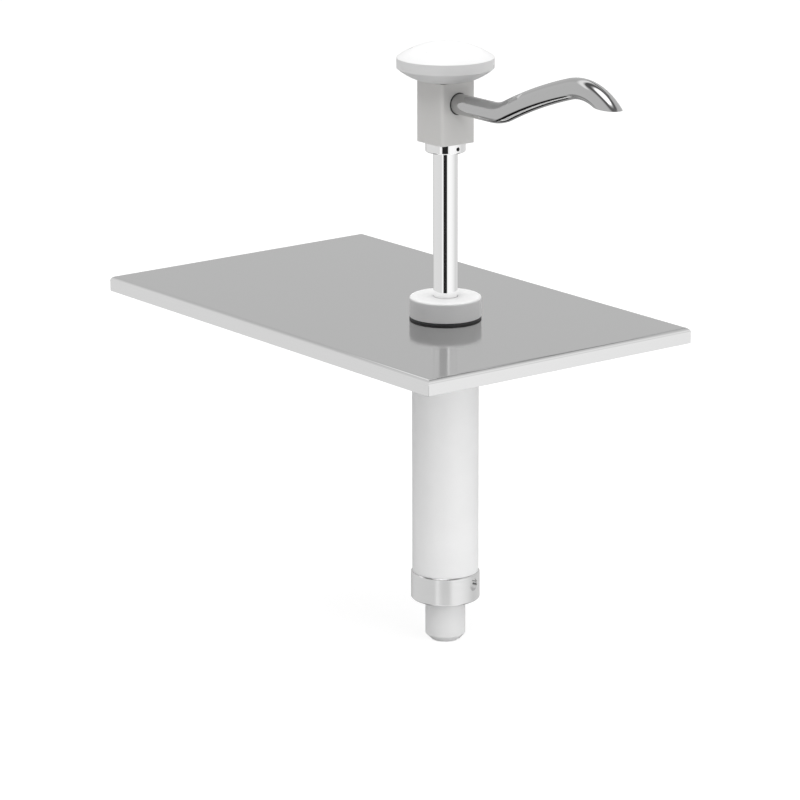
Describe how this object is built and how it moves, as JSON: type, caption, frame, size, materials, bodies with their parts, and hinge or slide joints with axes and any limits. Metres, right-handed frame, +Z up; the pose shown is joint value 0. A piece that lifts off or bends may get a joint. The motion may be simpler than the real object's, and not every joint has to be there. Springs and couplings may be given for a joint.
{
  "type": "sauce pump dispenser",
  "caption": "Hand plunger pump with a swan-neck spout, fixed through a flat stainless lid for a small gastronorm pan.",
  "frame": {"origin": "middle of the lid, on the plane of its flanges' lower edges, which rest on the pan's rim", "axes": "+Z up along the pump, +X along the lid the way the spout points at rest, +Y across the lid"},
  "size_m": [0.3038, 0.162, 0.3025],
  "materials": {
    "brushed_lid_steel": "satin brushed stainless sheet",
    "polished_steel": "mirror polished stainless",
    "polished_spout_steel": "mirror polished stainless",
    "spring_steel": "drawn and ground stainless",
    "dark_screw_steel": "dark socket screw",
    "satin_nut": "satin turned stainless",
    "white_plastic": "smooth moulded",
    "knob_plastic": "smooth moulded",
    "bush_plastic": "turned low-friction plastic",
    "cylinder_plastic": "satin moulded",
    "grey_head_plastic": "satin moulded, pale grey",
    "black_rubber": "matt moulded rubber"
  },
  "bodies": {
    "base": {"lid_plate": "brushed_lid_steel", "plate_gasket": "black_rubber", "collar_nut": "white_plastic", "guide_bush": "bush_plastic", "stem_wiper": "black_rubber", "pump_cylinder": "cylinder_plastic", "return_spring": "spring_steel", "valve_ring_nut": "satin_nut", "foot_valve_body": "cylinder_plastic", "foot_valve_oring": "black_rubber", "foot_ball_pin": "spring_steel"},
    "spring_seat": {"thrust_washer": "spring_steel"},
    "plunger": {"stem_tube": "polished_steel", "stem_ring": "polished_steel", "ring_grub_screw": "dark_screw_steel", "head_block": "grey_head_plastic", "head_oring": "black_rubber", "spout": "polished_spout_steel", "spout_oring": "black_rubber", "knob": "knob_plastic", "knob_stud": "spring_steel", "piston": "bush_plastic", "piston_seal_upper": "black_rubber", "piston_seal_lower": "black_rubber", "discharge_seat": "bush_plastic", "discharge_ball_pin": "spring_steel"},
    "foot_valve_ball": {"foot_ball": "polished_steel"},
    "discharge_valve_ball": {"discharge_ball": "polished_steel"}
  },
  "joints": [
    {"name": "pump_stroke", "type": "slide", "parent": "base", "child": "spring_seat", "axis": [0, 0, -1], "range_m": [0, 0.06], "stiffness_N_per_m": 250, "springref_m": -0.048, "deforming": ["return_spring"]},
    {"name": "spout_swivel", "type": "hinge", "parent": "spring_seat", "child": "plunger", "pos_m": [0.0424, 0, 0.1], "axis": [0, 0, 1], "continuous": true},
    {"name": "foot_ball_lift", "type": "slide", "parent": "base", "child": "foot_valve_ball", "axis": [0, 0, 1], "range_m": [0, 0.003]},
    {"name": "discharge_ball_lift", "type": "slide", "parent": "plunger", "child": "discharge_valve_ball", "axis": [0, 0, 1], "range_m": [0, 0.003]}
  ]
}
